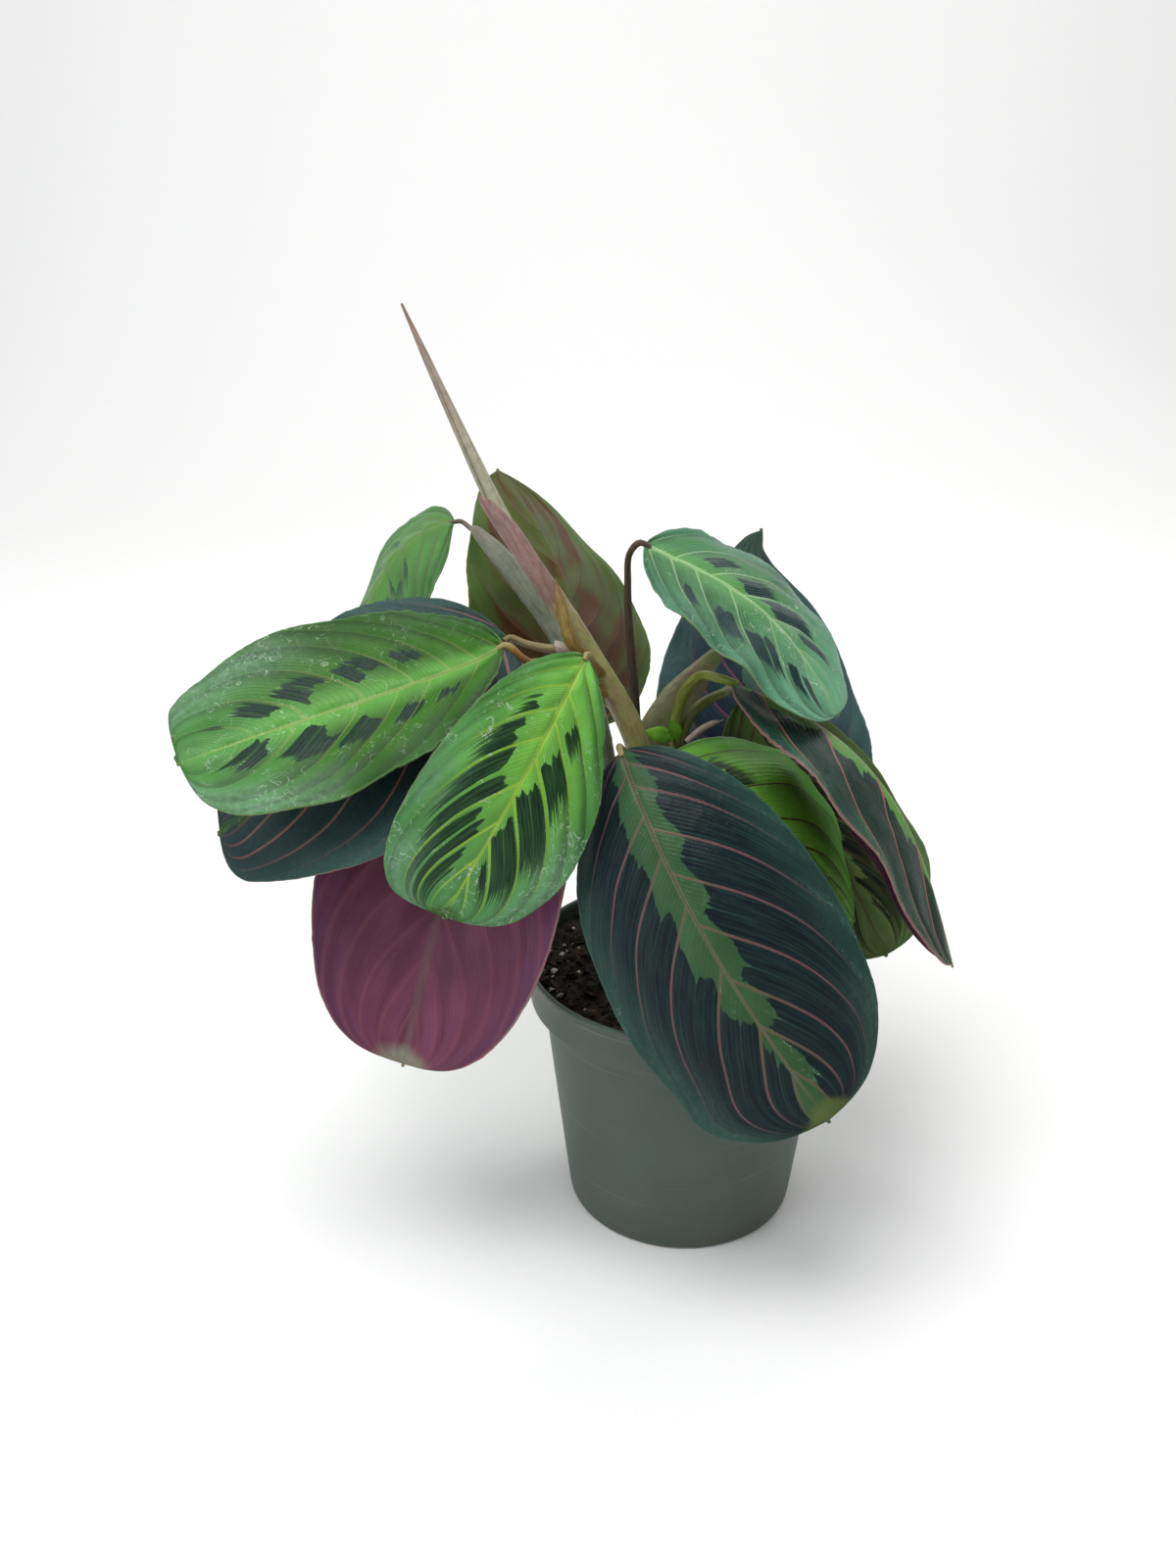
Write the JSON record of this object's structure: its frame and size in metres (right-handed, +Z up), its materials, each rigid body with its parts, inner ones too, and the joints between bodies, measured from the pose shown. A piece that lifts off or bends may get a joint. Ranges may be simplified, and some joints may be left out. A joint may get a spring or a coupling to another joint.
{
  "type": "potted red prayer plant",
  "caption": "Broad patterned oval leaves on arching stalks, with a rolled new leaf and its sheath, rooted in soil in a round tapered nursery pot with a stepped rim.",
  "frame": {"origin": "centre of the pot's flat base, on the surface it stands on", "axes": "+Z up along the pot's axis, -Y towards the front of the plant, +X to its right"},
  "size_m": [0.2319, 0.1818, 0.2873],
  "materials": {
    "pot": "satin moulded plastic",
    "soil": "damp crumbly potting mix with white perlite",
    "stalk_green": "satin, slightly hairy",
    "stalk_brown": "satin",
    "sheath_pink": "satin",
    "rolled_leaf": "satin",
    "dry_bract": "dry, papery",
    "leaf_dark": "satin blade with a green centre and pink veins, purple below",
    "leaf_pale": "satin blade, green with dark blotches",
    "leaf_fresh": "satin blade, yellow-green with dark blotches"
  },
  "bodies": {
    "root": {"pot": "pot", "soil": "soil", "stem_main": "stalk_green", "stem_back": "stalk_green", "stem_centre": "stalk_green", "stalk_brown": "stalk_brown", "stalk_broad": "stalk_green", "stalk_right": "stalk_green", "sheath_pink": "sheath_pink", "rolled_leaf": "rolled_leaf", "sheath_dry": "dry_bract", "bract_dry": "dry_bract", "sprout": "leaf_fresh", "leaf_left_upper": "leaf_pale", "leaf_front_centre": "leaf_fresh", "leaf_left_lower": "leaf_dark", "leaf_front_right": "leaf_dark", "leaf_low_left": "leaf_dark", "leaf_back_left": "leaf_pale", "leaf_back_centre": "leaf_fresh", "leaf_right_upper": "leaf_pale", "leaf_back_right": "leaf_dark", "leaf_right_inner": "leaf_fresh", "leaf_right_folded": "leaf_dark", "leaf_right_shaded": "leaf_fresh"}
  },
  "joints": []
}
